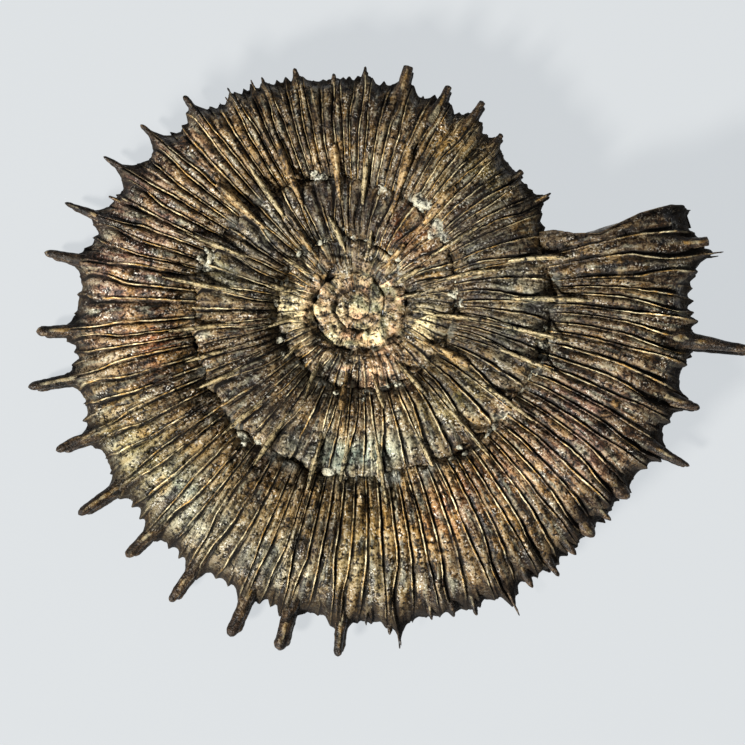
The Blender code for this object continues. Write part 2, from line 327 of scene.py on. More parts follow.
# %% Columns of the mesh: where each lies between two rib lines
FINE = (
    (0, 0.03, 0.07, 0.12, 0.19, 0.3, 0.42, 0.55, 0.68, 0.8, 0.9, 0.96),
    (0, 0.06, 0.14, 0.24, 0.4, 0.6, 0.8, 0.93),
)
MIDDLE = ((0, 0.045, 0.1, 0.17, 0.3, 0.45, 0.6, 0.75, 0.87, 0.95), (0, 0.1, 0.22, 0.4, 0.65, 0.9))
COARSE = ((0, 0.07, 0.15, 0.3, 0.5, 0.7, 0.85, 0.94), (0, 0.16, 0.45, 0.8))
INNERMOST = ((0, 0.13, 0.4, 0.75), (0, 0.5))
BOUNDS = ((60.0, FINE), (24.0, MIDDLE), (12.0, COARSE), (0.0, INNERMOST))


def mesh_columns():
    """Every column from the centre out: interval, the rib line before it, and share of the way on."""
    found = []
    for interval in range(len(spine_angles) - 1):
        size = coil_radius(spine_angles[interval])
        fractions = next(choice for least, choice in BOUNDS if size > least)
        for kind in range(4):
            found += [(interval, kind, share) for share in fractions[kind // 2]]
    found.append((len(spine_angles) - 1, 0, 0.0))
    return np.array(found)


columns = mesh_columns()
print("columns in all:", len(columns))

# %% Relief across the ribs
CREST_HALF_WIDTH, TOOTH_HALF_WIDTH = 0.30, 1.15
USUAL_WIDTH = 4.6


def rib_profile(share, width, half_width):
    """Crest, groove and floor, from 0 to 1, at a share of the way between two ribs `width` mm apart."""
    crest = np.clip(1 - np.minimum(share, 1 - share) * width / half_width, 0, 1)
    groove = np.exp(-(((share - 0.14) / 0.08) ** 2)) + 0.5 * np.exp(-(((share - 0.9) / 0.06) ** 2))
    floor = np.sin(np.pi * np.clip((share - 0.08) / 0.86, 0, 1))
    return np.array((crest, groove, floor))


def ribs_at(column, out):
    """Angle in degrees, rib count, and the crest, groove and floor at every column and row."""
    interval, kind = column[:, :1].astype(int), column[:, 1:2].astype(int)
    share = column[:, 2:]
    last = len(spine_angles) - 1
    after = np.minimum(interval + (kind == 3), last)
    before_line, after_line = rib_line(interval, kind, out), rib_line(after, (kind + 1) % 4, out)
    angle = before_line + (after_line - before_line) * share
    across = np.radians(1) * coil_radius(angle) * (0.6 + 0.4 * out)
    half_width = CREST_HALF_WIDTH + (TOOTH_HALF_WIDTH - CREST_HALF_WIDTH) * ramp(out, 0.84, 0.95)
    edge = rib_profile(share + 0 * out, (after_line - before_line) * across, half_width)
    edge[0] = ramp(edge[0], 0, 1)
    third_line = rib_line(interval, np.full_like(kind, 2), out)
    next_line = rib_line(np.minimum(interval + 1, last), np.zeros_like(kind), out)
    start = np.where(kind >= 2, third_line, before_line)
    end = np.maximum(np.where(kind >= 2, next_line, after_line), start + 1e-3)
    width = (end - start) * across
    flank = rib_profile(np.clip((angle - start) / (end - start), 0, 1), width, half_width)
    four_ribs = np.maximum(ramp(out, 0.84, 0.93), turn_of_spine[interval] == 2)
    narrow = np.clip(width / (0.4 * USUAL_WIDTH * (coil_radius(angle) / FULL_RADIUS) ** 0.5), 0, 1)
    count = 4 * interval + kind + share + 0 * out
    return angle, count, (flank + (edge - flank) * four_ribs) * np.maximum(narrow, interval == last)


print("crest, groove and floor at the mouth:", ribs_at(columns[-1:], np.array([[0.5]]))[2].ravel())

# %% [markdown]
# ## Colour by place
#
# The fossil isn't one colour. Iron has stained some stretches gold and rust, clay has left others violet
# brown or slate, and the middle has a skin of cream calcite. A painter would lay these in as soft washes
# first, and so does this: a few washes, each with its middle, its spread and its colour.

# %% Washes of colour over the shell
def linear(code):
    """An sRGB hex colour as linear red, green and blue."""
    parts = np.array([int(code[k:k + 2], 16) / 255 for k in (1, 3, 5)])
    return np.where(parts <= 0.04045, parts / 12.92, ((parts + 0.055) / 1.055) ** 2.4)


EARTH = linear("#5C462A")
STAINS = {
    "gold": linear("#8C6A30"), "olive": linear("#6C6430"), "rust": linear("#7E4724"),
    "violet": linear("#6E4B40"), "slate": linear("#22231E"), "umber": linear("#321F10"),
    "cream": linear("#D2C292"), "peach": linear("#C89C76"), "moss": linear("#888868"),
    "steel": linear("#6E7C72"),
}
WASHES = (
    ("violet", 162, 24, 60, 11, 0.9), ("violet", 330, 16, 63, 12, 0.8), ("rust", 190, 9, 50, 6, 0.9),
    ("gold", 228, 14, 50, 10, 0.9), ("olive", 215, 16, 65, 9, 0.6), ("gold", 250, 16, 58, 12, 0.8),
    ("gold", 285, 10, 60, 10, 0.7), ("olive", 272, 12, 60, 12, 0.5), ("gold", 276, 14, 52, 8, 0.5),
    ("rust", 300, 16, 55, 8, 0.6), ("gold", 308, 12, 66, 8, 0.7), ("umber", 350, 16, 76, 9, 0.8),
    ("umber", 10, 10, 74, 12, 0.8), ("steel", 231, 12, 63, 9, 0.6), ("steel", 253, 9, 65, 8, 0.6),
    ("umber", 92, 22, 51, 8, 0.6), ("umber", 32, 14, 44, 9, 0.9), ("gold", 105, 4, 50, 9, 0.7),
    ("gold", 61, 8, 46, 7, 0.9), ("gold", 124, 6, 46, 8, 0.6), ("olive", 48, 10, 42, 6, 0.6),
    ("slate", 24, 12, 33, 7, 1.0), ("slate", 350, 14, 47, 3, 0.8), ("moss", 165, 8, 31, 7, 1.0),
    ("umber", 212, 16, 31, 7, 0.9), ("steel", 265, 26, 37, 5, 0.9), ("gold", 266, 6, 29, 4, 0.8),
    ("olive", 315, 18, 32, 7, 0.6), ("steel", 355, 16, 40, 6, 0.6), ("slate", 118, 26, 20, 4, 1.0),
    ("umber", 100, 24, 29, 6, 0.7), ("rust", 58, 16, 23, 5, 0.9), ("cream", 182, 18, 16, 5, 1.0),
    ("peach", 290, 16, 17, 4, 1.0), ("cream", 352, 18, 17, 4, 0.9), ("slate", 250, 24, 22, 3, 0.8),
    ("umber", 140, 14, 41, 3, 0.6), ("steel", 140, 12, 30, 5, 0.5), ("gold", 205, 5, 40, 4, 0.6),
)
SHADES = (
    (0, 22, 52, 14, -0.35), (30, 16, 44, 12, -0.45), (90, 24, 46, 12, -0.3), (345, 30, 30, 9, -0.3),
    (100, 40, 30, 8, -0.3), (235, 30, 58, 14, -0.12), (298, 28, 56, 12, 0.1), (215, 20, 33, 8, -0.35),
    (178, 14, 16, 5, 0.35), (60, 10, 46, 9, 0.2), (180, 20, 56, 10, 0.15), (20, 60, 30, 8, -0.15),
    (285, 30, 17, 5, 0.2), (350, 20, 17, 4, 0.25), (200, 60, 6, 6, 0.05), (235, 30, 24, 4, -0.4),
    (195, 20, 21, 3, -0.5),
)
CREAM_RADIUS = 9.0
PATCH_NOISE = ((0.6, 7.0, 5), (0.5, 2.5, 6))
SPOTS = (("gold", 4.0, 17, 1.3, -0.35, 0.5), ("umber", 6.0, 18, 1.6, -0.25, 0.85))
SHADE_NOISE, SHADE_RANGE = ((0.45, 9.0, 34), (0.45, 3.5, 35)), (0.35, 1.9)
# Painted shade on the outer edge: how dark it gets, and where it is darkest.
EDGE_DARK, EDGE_DARKER, DARKEST_ANGLE, DARK_SPREAD = 0.84, 0.13, -62, 48


def place_share(points, angle_at, spread, radius_at, depth):
    """How near points in mm are to a place on the flank, from 0 to 1."""
    radius = np.hypot(points[..., 0], points[..., 1])
    angle = np.degrees(np.arctan2(points[..., 1], points[..., 0]))
    away = (angle - angle_at + 180) % 360 - 180
    return np.exp(-((away / spread) ** 2) - ((radius - radius_at) / depth) ** 2)


def place_shade(points):
    """How light or dark the stone is by place, about 1."""
    shade = np.clip(1 + noises(points, *SHADE_NOISE), *SHADE_RANGE)
    for *place, amount in SHADES:
        shade = shade * (1 + amount * place_share(points, *place))
    return shade


def painted_edge_shade(angle, out):
    """Painted shade on the shell's outer edge, where it curves away: darkest below and to the right."""
    below_right = np.exp(-(((angle - DARKEST_ANGLE) / DARK_SPREAD) ** 2))
    dark = EDGE_DARK + EDGE_DARKER * below_right
    return 1 - dark * ramp(out, 0.86 - 0.08 * below_right, 0.96) * (angle > SECOND_TURN_END)


def wash_colour(points):
    """The broad colour at points in mm about the coil's centre."""
    radius = np.hypot(points[..., 0], points[..., 1])
    colour = np.broadcast_to(EARTH, points.shape).copy()
    patchy = np.clip(0.95 + noises(points, *PATCH_NOISE), 0, 1.4)
    for name, *place, amount in WASHES:
        share = amount * patchy * place_share(points, *place)
        colour += (STAINS[name] - colour) * np.clip(share, 0, 1)[..., None]
    for name, size, seed, amount, start, most in SPOTS:
        share = np.clip(noise(points, size, seed) * amount + start, 0, most)
        colour += (STAINS[name] - colour) * share[..., None]
    centre = 1 - ramp(radius, CREAM_RADIUS - 5, CREAM_RADIUS + 6) + 1.1 * noise(points, 2.6, 7)
    centre = np.clip(centre, 0, 1) * (radius < CREAM_RADIUS + 7)
    mix = 0.5 + 0.9 * noise(points, 2.2, 26)[..., None]
    middle_colour = STAINS["cream"] + (STAINS["peach"] - STAINS["cream"]) * np.clip(mix, 0, 1)
    middle_colour = middle_colour + (STAINS["moss"] - middle_colour) * np.clip(1 - 3 * mix, 0, 1)
    return colour + (middle_colour - colour) * (0.9 * centre)[..., None]


print("earth colour, linear:", np.round(EARTH, 3))

# %% [markdown]
# ## From law to surface
#
# Now each column and row gets its place: the growth law gives the smooth turn, the ribs and the spines'
# feet lift it, and noise swells and wears it. Pale crusts thicken the seam here and there. The crests
# stand out less where they are worn.

# %% What swells the shell at its seams and spines
CRUSTS = (
    (42, 6, 1.0), (61, 5, 1.0), (79, 4, 0.9), (106, 4, 1.0), (132, 3, 0.8), (147, 5, 0.9), (163, 6, 1.0),
    (185, 6, 0.6), (200, 5, 0.8), (212, 5, 0.6), (225, 10, 0.8), (245, 6, 0.8), (272, 12, 0.9),
    (290, 12, 0.9), (320, 10, 0.8), (345, 8, 0.7), (5, 7, 0.8),
)
FOOT_SPREAD, FOOT_BEHIND = 1.7, 0.12
WEB_MARGIN, FULL_REACH, WEB_AHEAD = 0.9, 8.0, 0.2


def crust_share(angle):
    """How much crust the seam holds at an angle, from 0 to 1."""
    total = 0.0
    for middle, spread, amount in CRUSTS:
        away = (angle - middle + 180) % 360 - 180
        total = total + amount * np.exp(-((away / spread) ** 2))
    return np.clip(total, 0, 1)


def foot_mounds(interval, angle, radius, size, out):
    """How much the shell swells, from 0 to 1, round the foot of each spine."""
    last = len(spine_angles) - 1
    mound = 0.0
    for step in (0, 1):
        index = np.minimum(interval + step, last)
        foot_line = spine_angles[index] + INTERVALS[index] * FOOT_BEHIND + rib_lean(angle, out)
        away = np.abs(angle - foot_line) * np.radians(1) * radius
        mound = np.maximum(mound, np.exp(-((away / (FOOT_SPREAD * size)) ** 2)))
    return mound * ramp(out, 0.66, 0.88) * (1 - ramp(out, 0.93, 1.0))


def spine_webs(angle, radius, out):
    """How far, from 0 to 1, the shell's edge is drawn out to the spines and teeth near it."""
    web = 0.0 * angle
    for place, reach, foot, *_ in OUTER_SPINES + TEETH:
        near = np.abs(angle - place - WEB_AHEAD) < 12
        away = np.abs(angle[near] - place - WEB_AHEAD) * np.radians(1) * radius[near]
        drawn = min(reach / FULL_REACH, 1) * np.exp(-away / (0.4 * foot + WEB_MARGIN))
        web[near] = np.maximum(web[near], drawn)
    return web * ramp(out, 0.8, 0.95) * (1 - 0.8 * ramp(out, 0.97, 1.0))


print("crust on the upper seam at 90 degrees:", round(float(crust_share(90.0)), 2))

# %% The smooth turn, and what noise does to it
RIBS_FROM, RIBS_FULLY = 9.0, 19.0
MIDDLE_TO, MIDDLE_FROM = 11.0, 21.0
STREAKS = (((1.0, 6.0, 1.0), 1.0, 0.9, 11), ((1.0, 4.0, 1.0), 0.6, 2.1, 12))
WEAR_NOISE, MOST_WEAR = ((0.9, 2.6, 1), (0.6, 8.0, 2), (0.3, 25.0, 9)), 1.25
LUMP_NOISE = ((0.7, 2.4, 16), (0.5, 1.1, 19))
CRUST_NOISE = ((2.2, 3.2, 4), (1.6, 1.4, 20))


def smooth_turn(column, turn):
    """Where every column and row lies on the smooth turn, which way is outward, and its rib's parts."""
    out, upward = (part[None, :] for part in section_shape(turn))
    angle, count, (crest, groove, floor) = ribs_at(column, out)
    outer, seam, breadth = coil_radius(angle), seam_radius(angle), half_breadth(angle)
    power = section_power(angle, out)
    broad = np.sign(upward) * breadth_share(out, power)
    across = (out - SECTION_MIDDLE) / SECTION_HALF
    lean_out = power * np.sign(across) * np.abs(across) ** (power - 1) / (SECTION_HALF * (outer - seam))
    lean_up = 2 * broad / breadth
    length = np.hypot(lean_out, lean_up)
    radius = seam + out * (outer - seam)
    side = np.sign(upward) * 50
    ribbed = ramp(radius, RIBS_FROM, RIBS_FULLY)
    return SimpleNamespace(
        out=out, angle=angle, radius=radius, height=broad * breadth,
        size=(outer / FULL_RADIUS) ** 0.5, inner=power > 4,
        lean_out=lean_out / length, lean_up=lean_up / length,
        smooth=point_at(radius, angle, broad * breadth),
        along=np.stack((count * USUAL_WIDTH, radius + side, 0 * angle + side), axis=-1),
        crest=crest * (0.25 + 0.75 * ribbed), groove=groove * (0.1 + 0.9 * ribbed), floor=floor,
        ribbed=ribbed,
    )


def near_seams(out, inner_width, outer_place, outer_width, inner):
    """How near a point is, from 0 to 1, to the seam inside its turn or the one outside it."""
    outside = np.exp(-(((out - outer_place) / outer_width) ** 2)) * inner
    return np.exp(-((out / inner_width) ** 2)) + outside


def add_noise(at):
    """Adds to a turn its streaks, pits and wear, the lumps of its middle, and the crusts in its seams."""
    at.streak = sum(amount * noise(at.along / drawn, size, seed) for drawn, amount, size, seed in STREAKS)
    at.pit = noise(at.along / (1.0, 2.2, 1.0), 1.5, 13) + 0.8 * noise(at.smooth, 1.3, 14)
    at.wear = np.clip(0.72 + noises(at.smooth, *WEAR_NOISE), 0.0, MOST_WEAR)
    at.middle = 1 - ramp(at.radius, MIDDLE_TO, MIDDLE_FROM)
    at.lumps = noises(at.smooth, *LUMP_NOISE) * ramp(at.radius, 0.0, 8.0)
    at.at_seam = near_seams(at.out - 0.02, 0.07, 0.95, 0.08, at.inner)
    at.crust = crust_share(at.angle) * at.at_seam * np.clip(noises(at.smooth, *CRUST_NOISE) + 0.1, 0, 1)


mouth_turn = smooth_turn(columns[-1:], section_rows(150))
add_noise(mouth_turn)
print("wear at the mouth, from 0 to 1.25:", round(float(mouth_turn.wear.mean()), 2))

# %% How far the surface lifts off the smooth turn
RIB_HEIGHT, FLOOR_HEIGHT, GROOVE_DEPTH, TOOTH_HEIGHT = 0.75, 0.75, 0.55, 1.0
STREAK, PIT, EDGE_PITS = 0.24, 0.30, 0.35
FOOT_LIFT, SWELL, SWELL_SIZE = 1.6, 0.5, 14.0
CRUST_LIFT, SEAM_FILL = 1.1, 1.5
SEAM_NOISE = ((0.9, 5.0, 25), (0.6, 2.0, 27))
FILL_NOISE, FILL_FROM, FILL_FULLY = ((1.3, 11.0, 44), (0.5, 4.0, 45)), 16.0, 34.0


def rib_lift(at):
    """How far ribs, teeth, grooves, streaks and pits lift the surface, in mm."""
    edge = ramp(at.out, 0.84, 0.96)
    tooth = np.clip(0.6 + 1.5 * noise(at.along, 5.0, 15), 0.05, 1.7)
    lift = (RIB_HEIGHT * (0.35 + 0.65 * at.wear) * (1 - edge) + TOOTH_HEIGHT * tooth * edge) * at.crest
    lift = lift + FLOOR_HEIGHT * at.floor * (1 - 1.2 * edge) - GROOVE_DEPTH * at.groove * (1 - 0.6 * edge)
    lift = lift + STREAK * at.streak * (1 - at.crest) + PIT * at.pit * (1 - 0.7 * at.crest)
    lift = (lift + EDGE_PITS * noise(at.smooth, 2.3, 29) * edge) * at.size
    return lift * ramp(at.out, 0.0, 0.14) * (0.3 + 0.7 * at.ribbed)


def whole_lift(at, interval):
    """How far the surface lifts off the smooth turn, in mm, with its feet, lumps and filled seams."""
    mound = foot_mounds(interval, at.angle, at.radius, at.size, at.out)
    swell = noise(at.smooth, SWELL_SIZE, 3) * ramp(at.out, 0.0, 0.2)
    filled = np.clip(0.55 + noises(at.smooth, *FILL_NOISE), 0, 1.3) * ramp(at.radius, FILL_FROM, FILL_FULLY)
    seam = CRUST_LIFT * at.crust + (noises(at.smooth, *SEAM_NOISE) + SEAM_FILL * filled) * at.at_seam
    return rib_lift(at) + at.size * (FOOT_LIFT * mound + SWELL * swell + seam) + at.lumps * at.middle


print("tallest lift at the mouth in mm:", round(float(rib_lift(mouth_turn).max()), 2))

# %% Places of all points of the shell, and what its stone is coloured by
WEB_LIFT = 6.5
LIP_FLARE, LIP_FROM, LIP_FULLY = 1.6, 0.0, 9.0
TILT_X, TILT_Y = -1.37, -1.29
COIL_CENTRE = np.array((-8.64, 13.21, 14.05))


def lie_down(points):
    """Turns and lifts points in mm about the coil's centre to where the fossil lies."""
    cx, sx = math.cos(math.radians(TILT_X)), math.sin(math.radians(TILT_X))
    cy, sy = math.cos(math.radians(TILT_Y)), math.sin(math.radians(TILT_Y))
    about_x = np.array(((1, 0, 0), (0, cx, -sx), (0, sx, cx)))
    about_y = np.array(((cy, 0, sy), (0, 1, 0), (-sy, 0, cy)))
    return points @ (about_x @ about_y).T + COIL_CENTRE


def stone_parts(at, points, web):
    """What each point's stone is coloured by: painted shade, light crests, and relief."""
    # The shade number paints shade into the seam valleys, onto the spine webs and at the outer edge, besides
    # the stone's lighter and darker places and its darker lip.
    at_lip = ramp(at.angle, MOUTH_ANGLE - 5, MOUTH_ANGLE - 2)
    valley = near_seams(at.out, 0.07 + 0.07 * at.middle, 1.0, 0.05, at.inner)
    clay_and_shade = np.clip(0.45 + 0.5 * at.middle + 1.3 * noise(at.smooth, 3.0, 28), 0, 1)
    shade = painted_edge_shade(at.angle, at.out) * place_shade(points)
    shade = shade * (1 - (0.6 + 0.25 * at.middle) * valley * clay_and_shade)
    shade = shade * (1 - 0.85 * np.clip(1.6 * web, 0, 1)) * (1 - 0.35 * at_lip)
    # Relief makes raised stone lighter and pits and crevices darker, which paints their shade.
    relief = 0.5 + 0.28 * at.streak + 0.3 * at.pit + 0.55 * (at.lumps - 0.05) * at.middle
    return {
        # Crests are lighter with wear and with a painted highlight.
        "crest": at.crest * at.wear * (1 - 0.6 * ramp(at.out, 0.8, 0.95)) * (1 - 0.7 * at_lip),
        "groove": np.clip(at.groove, 0, 1), "floor": at.floor, "crust": at.crust,
        "relief": np.clip(relief, 0, 1), "along": at.along, "wash": wash_colour(points), "shade": shade,
    }


def shell_points(column, turn):
    """Points in mm about the coil's centre, and what each is part of, for every column and row."""
    at = smooth_turn(column, turn)
    add_noise(at)
    lift = whole_lift(at, column[:, :1].astype(int))
    web = spine_webs(at.angle, at.radius, at.out)
    flare = LIP_FLARE * ramp(at.angle, LIP_FROM, LIP_FULLY) * ramp(at.out, 0.6, 1.0)
    radius = at.radius + lift * at.lean_out + WEB_LIFT * web + flare
    points = point_at(radius, at.angle, at.height + lift * at.lean_up)
    return points, stone_parts(at, points, web)


print("highest point of the mouth's edge in mm:", round(float(lie_down(mouth_turn.smooth)[..., 2].max()), 1))

# %% [markdown]
# ## Spinning the tubes
#
# Each stretch of shell starts as a circle of points. A Screw modifier sweeps it about the coil's axis
# into a plain ring-shaped tube, and the ends are closed later. Its rings become the columns and its
# circle the section's rows, so every point of the tube can be moved to its place by the law above.

# %% A plain spun tube
SPIN_RADIUS, SPIN_ANGLE = 3.0, 300.0


def spun_tube(name, rings, rows):
    """A tube of `rings` rings with `rows` corners each, and the ring and row of every corner."""
    bpy.ops.mesh.primitive_circle_add(
        vertices=rows, radius=1, location=(SPIN_RADIUS, 0, 0), rotation=(math.pi / 2, 0, 0)
    )
    tube = bpy.context.object
    tube.name = tube.data.name = name
    bpy.ops.object.transform_apply(location=True, rotation=True, scale=True)
    sweep = tube.modifiers.new("sweep", "SCREW")
    sweep.steps = sweep.render_steps = rings - 1
    sweep.angle = math.radians(SPIN_ANGLE)
    sweep.use_smooth_shade = True
    bpy.ops.object.modifier_apply(modifier=sweep.name)
    place = np.empty(len(tube.data.vertices) * 3)
    tube.data.vertices.foreach_get("co", place)
    x, y, z = place.reshape(-1, 3).T
    turned = np.degrees(np.arctan2(y, x))
    turned = np.where(turned < -1, turned + 360, turned)
    ring = np.rint(turned / SPIN_ANGLE * (rings - 1)).astype(int)
    round_section = np.arctan2(z, np.hypot(x, y) - SPIN_RADIUS) % (2 * np.pi)
    row = np.rint(round_section / (2 * np.pi / rows)).astype(int) % rows
    return tube, ring, row


test_tube, test_ring, test_row = spun_tube("test", 20, 12)
print("corners, highest ring and row:", len(test_ring), test_ring.min(), test_ring.max(), test_row.max())
bpy.data.objects.remove(test_tube)

# %% Storing, placing, closing and handing over a piece
PARTS = ("crest", "groove", "floor", "crust", "relief", "shade")


def set_attribute(mesh, name, values):
    """Stores a number for each corner of a mesh, or three: a colour for "wash", and else a place."""
    kind, field = ("FLOAT", "value") if name in PARTS else ("FLOAT_VECTOR", "vector")
    if name == "wash":
        kind, field = "FLOAT_COLOR", "color"
        values = np.column_stack((values, np.ones(len(values))))
    mesh.attributes.new(name, kind, "POINT").data.foreach_set(field, values.astype(np.float32).ravel())


def put(mesh, points):
    """Moves a mesh's corners to points in mm about the coil's centre."""
    mesh.vertices.foreach_set("co", (lie_down(points) * MM).ravel())
    mesh.update()


def pick_only(piece):
    """Selects one piece and nothing else."""
    bpy.ops.object.select_all(action="DESELECT")
    bpy.context.view_layer.objects.active = piece
    piece.select_set(True)


def close_and_turn_out(piece):
    """Fills any open end of a piece and points its faces outward."""
    pick_only(piece)
    bpy.ops.object.mode_set(mode="EDIT")
    bpy.ops.mesh.select_all(action="SELECT")
    bpy.ops.mesh.fill_holes(sides=0)
    bpy.ops.mesh.normals_make_consistent(inside=False)
    bpy.ops.mesh.select_all(action="DESELECT")
    bpy.ops.object.mode_set(mode="OBJECT")


def hand_over(piece, material):
    """Gives a finished piece its material and its place in the frame."""
    piece.data.materials.clear()
    piece.data.materials.append(material)
    piece.data.shade_smooth()
    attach(piece, "root")
    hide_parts("ammonite")
    piece.data.calc_loop_triangles()
    print(piece.name, "has", len(piece.data.loop_triangles), "triangles")


print("numbers that each corner carries for its stone:", ", ".join(PARTS))

# %% [markdown]
# ## Fine pitting
#
# Close to, the calcite is rough: shallow pits and grains about a millimetre across. A Displace
# modifier with a cloud texture raises them in the mesh itself, and is then applied. What would sink below
# the table is worn flat, as a heavy fossil's lower ribs are, and the highest crests are worn down a
# little too.

# %% Pitting and wear
WORN_ABOVE, WORN_TO = 31.6, 0.4


def cloud_texture(name, size, depth):
    """A cloud texture with features `size` mm across."""
    texture = bpy.data.textures.new(name, "CLOUDS")
    texture.noise_scale = size * MM
    texture.noise_depth = depth
    return texture


TEXTURES = (cloud_texture("pits", 1.3, 3), cloud_texture("grains", 0.55, 2))


def roughen(piece, *depths):
    """Raises pits and grains, in mm, along the surface, then wears off what is too low or too high."""
    pick_only(piece)
    for texture, depth in zip(TEXTURES, depths):
        displace = piece.modifiers.new(texture.name, "DISPLACE")
        displace.texture = texture
        displace.texture_coords = "LOCAL"
        displace.strength = depth * MM
        displace.mid_level = 0.5
        bpy.ops.object.modifier_apply(modifier=displace.name)
    place = np.empty(len(piece.data.vertices) * 3)
    piece.data.vertices.foreach_get("co", place)
    height = np.maximum(place[2::3] / MM, 0.0)
    place[2::3] = np.minimum(height, WORN_ABOVE + WORN_TO * (height - WORN_ABOVE)) * MM
    piece.data.vertices.foreach_set("co", place)
    piece.data.update()


print("pit and grain textures:", [texture.name for texture in TEXTURES])

# %% [markdown]
# ## Materials
#
# Fossil calcite is stone: not metallic, with an index of refraction near that of most minerals, and a
# dull polish where it has been cleaned and waxed. What the eye sees in it is mottling a few millimetres
# wide, fine grains lighter and darker than it, bright worn crests and nearly black grooves. Part of its
# light
# and shade is painted into the colour: a highlight on the crests besides their wear, shade in the grooves
# besides their clay, a silver sheen and white glints on the floors between ribs, raised stone lighter and
# pits darker, and shade in the seams, on the spine webs and at the outer edge. The colour washes come from
# the mesh, and noise in real millimetres breaks them up. The real grains are often only a tenth of a
# millimetre wide, too fine to show, so they are drawn half a millimetre to one wide.

# %% A small helper for nodes
def add(tree, kind, values=None, out=0, **settings):
    """Adds a node, sets it, gives its inputs values or links, and returns the output that is wanted."""
    made = tree.nodes.new(kind)
    for name, value in settings.items():
        setattr(made, name, value)
    for key, value in (values or {}).items():
        if isinstance(value, bpy.types.NodeSocket):
            tree.links.new(value, made.inputs[key])
        else:
            made.inputs[key].default_value = value
    return made.outputs[out]


MOTTLE_SIZE, GRAIN_SIZE, FLECK_SIZE = 3.0, 1.0, 0.5
print("mottling, grains and flecks in mm:", MOTTLE_SIZE, GRAIN_SIZE, FLECK_SIZE)

# %% What the stone is mixed from: each pattern's place, size across and along it in mm, and detail
PATTERNS = {
    "mottle": ("place", MOTTLE_SIZE, MOTTLE_SIZE, 4.0), "grain": ("place", GRAIN_SIZE, GRAIN_SIZE, 3.0),
    "fleck": ("place", FLECK_SIZE, FLECK_SIZE, 2.0), "streak": ("along", 0.8, 4.5, 3.0),
    "patch": ("along", 1.8, 5.0, 4.0),
}


def stone_fields(tree):
    """The mesh's own numbers and the patterns, by name. Places are in metres, but those along ribs in mm."""
    fields = {"place": add(tree, "ShaderNodeTexCoord", out="Object")}
    for name, out in (("wash", "Color"), ("along", "Vector"), *((part, "Fac") for part in PARTS)):
        fields[name] = add(tree, "ShaderNodeAttribute", out=out, attribute_name=name)
    for name, (source, across, along, detail) in PATTERNS.items():
        unit = MM if source == "place" else 1.0
        scale = (1 / (across * unit), 1 / (along * unit), 1 / (across * unit))
        drawn = add(tree, "ShaderNodeVectorMath", {0: fields[source], 1: scale}, operation="MULTIPLY")
        fields[name] = add(tree, "ShaderNodeTexNoise", {"Vector": drawn, "Scale": 1.0, "Detail": detail})
    return fields


def product(tree, fields, *factors):
    """The product of numbers, fields, and fields that are first brought from one range to another."""
    total = 1.0
    for factor in factors:
        if isinstance(factor, tuple):
            name, low, high, dark, light = factor
            values = {"Value": fields[name], 1: low, 2: high, 3: dark, 4: light}
            factor = add(tree, "ShaderNodeMapRange", values)
        elif isinstance(factor, str):
            factor = fields[factor]
        total = add(tree, "ShaderNodeMath", {0: total, 1: factor}, operation="MULTIPLY")
    return total


print("patterns in the stone:", ", ".join(PATTERNS))

# %% How light the stone is, and where its clay and its dark pits are
CONTRAST, BRIGHTEST, BRIGHT_BEND = 1.6, 2.1, 0.9


def add_shares(tree, fields, body, mottling):
    """Adds to the fields the stone's strength, and the shares of clay, of dark pits and of dull places."""
    strength = product(
        tree, fields, ("mottle", 0.32, 0.68, 1 - 0.42 * mottling, 1 + 0.5 * mottling),
        ("grain", 0.35, 0.65, 1 - 0.5 * mottling, 1 + 0.5 * mottling), ("fleck", 0.35, 0.65, 0.7, 1.35),
        ("streak", 0.35, 0.65, 0.5, 1.55), ("relief", 0.1, 0.9, 0.12, 1.85), body,
    )
    strength = add(tree, "ShaderNodeMath", {0: strength, 1: CONTRAST}, operation="POWER")
    values = {0: strength, 1: BRIGHTEST, 2: BRIGHT_BEND}
    fields["strength"] = add(tree, "ShaderNodeMath", values, operation="SMOOTH_MIN")
    for name, factors in (
        # The grooves' share holds their dark clay and painted shade in them.
        ("clay_and_shade", (("groove", 0.06, 0.6, 0.0, 1.0), ("patch", 0.48, 0.68, 1.0, 0.3))),
        ("dark_pit", (("grain", 0.35, 0.43, 0.85 * mottling, 0.0), ("crest", 0.3, 0.8, 1.0, 0.1))),
        ("dull", (("shade", 0.2, 0.9, 1.0, 0.0),)),
        ("golden", (("mottle", 0.4, 0.6, 0.0, 1.0),)),
    ):
        fields[name] = product(tree, fields, *factors)


print("strength is kept below about", BRIGHTEST)

# %% Layers of colour over the washes
# Colours of the layers, among them a painted silver sheen, painted white glints, crests partly painted as
# highlights, and the dark brown of painted shade.
CREST_TAN, CREST_GOLD, CLAY, SILVER_SHEEN = "#E0D2AA", "#AC8748", "#050301", "#A8A58E"
CHALK, PALE_TAN, GLINT_WHITE, SHADE_BROWN = "#9A9C92", "#C6BA98", "#EAE8DE", "#120B06"


